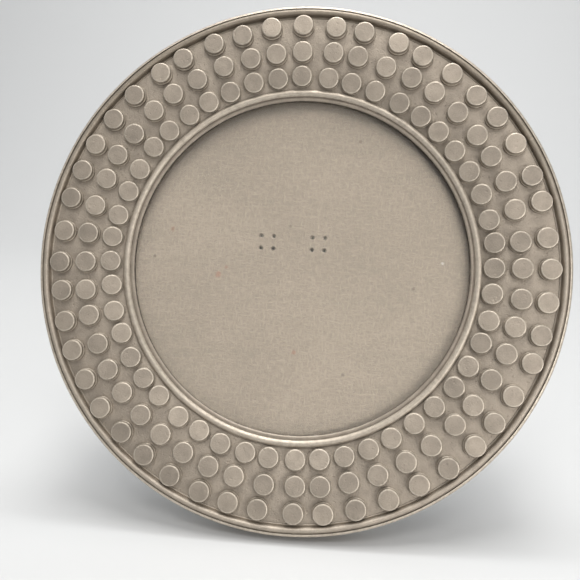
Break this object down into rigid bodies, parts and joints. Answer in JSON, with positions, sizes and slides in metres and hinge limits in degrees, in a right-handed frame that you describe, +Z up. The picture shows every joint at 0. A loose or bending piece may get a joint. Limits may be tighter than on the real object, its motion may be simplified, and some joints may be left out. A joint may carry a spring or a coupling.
{
  "type": "round photo frame",
  "caption": "Round standing photo frame: a beaded metal rim, rows of small raised discs on a domed band, a glazed opening, and a hinged easel leg behind.",
  "frame": {"origin": "on the table, under the middle of the standing frame's bounding box", "axes": "+Z up; the face looks towards -Y and leans back 17 degrees; +X is to the right as seen from the front; the leg is behind, towards +Y"},
  "size_m": [0.1992, 0.071, 0.1933],
  "materials": {
    "cast_metal": "sand-cast, satin nickel tone",
    "clear_glass": "clear, polished",
    "lining_cloth": "matt suede-like cloth",
    "board": "hardboard under dark flocked cloth",
    "ring_plate": "satin plate",
    "steel_hardware": "nickel-plated steel"
  },
  "bodies": {
    "frame": {"outer_rim": "cast_metal", "face_band": "cast_metal", "inner_bezel": "cast_metal", "coins_outer_row": "cast_metal", "coins_middle_row": "cast_metal", "coins_inner_row": "cast_metal", "glass": "clear_glass", "board_lining": "lining_cloth", "backing_board": "board", "back_ring": "ring_plate", "ring_screws": "steel_hardware", "turn_button_rivets": "steel_hardware", "hinge_board_leaf": "steel_hardware", "hinge_pin": "steel_hardware"},
    "leg": {"hinge_leg_leaf": "steel_hardware", "leg_rivets": "steel_hardware", "easel_leg": "board"},
    "turn_button_1": {"turn_button_1": "steel_hardware"},
    "turn_button_2": {"turn_button_2": "steel_hardware"},
    "turn_button_3": {"turn_button_3": "steel_hardware"},
    "turn_button_4": {"turn_button_4": "steel_hardware"}
  },
  "joints": [
    {"name": "leg_hinge", "type": "hinge", "parent": "frame", "child": "leg", "pos_m": [-0.0032, 0.00537, 0.09259], "axis": [1, 0, 0], "range_deg": [-34, 0]},
    {"name": "turn_button_1_swivel", "type": "hinge", "parent": "frame", "child": "turn_button_1", "pos_m": [0.05141, 0.01903, 0.14426], "axis": [0, 0.9563, -0.2924], "continuous": true},
    {"name": "turn_button_2_swivel", "type": "hinge", "parent": "frame", "child": "turn_button_2", "pos_m": [-0.05141, 0.01903, 0.14426], "axis": [0, 0.9563, -0.2924], "continuous": true},
    {"name": "turn_button_3_swivel", "type": "hinge", "parent": "frame", "child": "turn_button_3", "pos_m": [-0.05141, -0.01103, 0.04594], "axis": [0, 0.9563, -0.2924], "continuous": true},
    {"name": "turn_button_4_swivel", "type": "hinge", "parent": "frame", "child": "turn_button_4", "pos_m": [0.05141, -0.01103, 0.04594], "axis": [0, 0.9563, -0.2924], "continuous": true}
  ]
}
